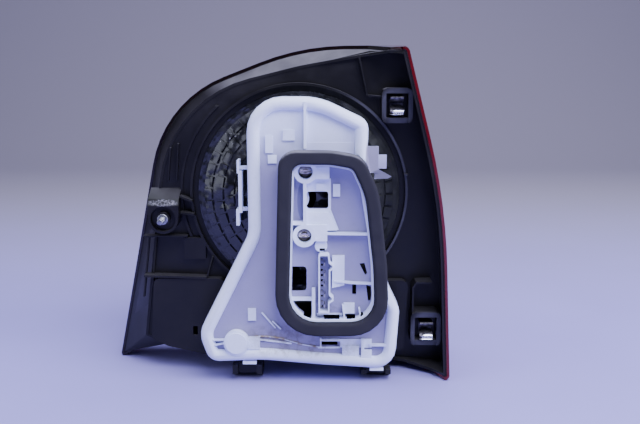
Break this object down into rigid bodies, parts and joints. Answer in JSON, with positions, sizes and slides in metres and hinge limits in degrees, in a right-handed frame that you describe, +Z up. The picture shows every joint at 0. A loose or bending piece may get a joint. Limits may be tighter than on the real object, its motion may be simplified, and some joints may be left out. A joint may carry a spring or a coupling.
{
  "type": "rear lamp",
  "caption": "Left-hand hatchback rear lamp: dark red wraparound lens, black housing with round reflector, off-white bulb carrier with plug box and foam gasket.",
  "frame": {"origin": "centre of the base of the bounding box, on the table the lamp stands on", "axes": "+X towards the fender side, +Y out of the car body through the lens, +Z up"},
  "size_m": [0.3417, 0.134, 0.3202],
  "materials": {
    "black_plastic": "semi-gloss moulded, with fine dust",
    "red_lens": "clear dark red, polished",
    "glue": "cured sealant",
    "reflector_plastic": "black moulded back, bright metallised front",
    "bright_coat": "vacuum metallised",
    "bezel_grey": "silver grey, satin",
    "white_plastic": "off-white moulded, slightly stained",
    "foam": "closed-cell foam, matt",
    "tinned_steel": "stamped and tinned",
    "spring_steel": "bright folded sheet",
    "screw_steel": "yellowish zinc plating",
    "bulb_metal": "nickelled",
    "bulb_glass": "clear",
    "amber_glass": "amber coated"
  },
  "bodies": {
    "root": {"housing": "black_plastic", "outer_lens": "red_lens", "lens_seal": "glue", "upper_reflector": "reflector_plastic", "lower_reflector": "bright_coat", "inner_bezel": "bezel_grey", "bulb_carrier": "white_plastic", "carrier_gasket": "foam", "stop_contact": "tinned_steel", "tail_contact": "tinned_steel", "fog_contact": "tinned_steel", "turn_contact": "tinned_steel", "earth_contact": "tinned_steel", "stop_bulb_base": "bulb_metal", "stop_bulb_glass": "bulb_glass", "turn_bulb_base": "bulb_metal", "turn_bulb_glass": "amber_glass", "fog_bulb_base": "bulb_metal", "fog_bulb_glass": "bulb_glass", "carrier_screw_upper": "screw_steel", "carrier_screw_lower": "screw_steel", "clip_upper": "spring_steel", "clip_lower": "spring_steel", "side_stud": "spring_steel"}
  },
  "joints": []
}
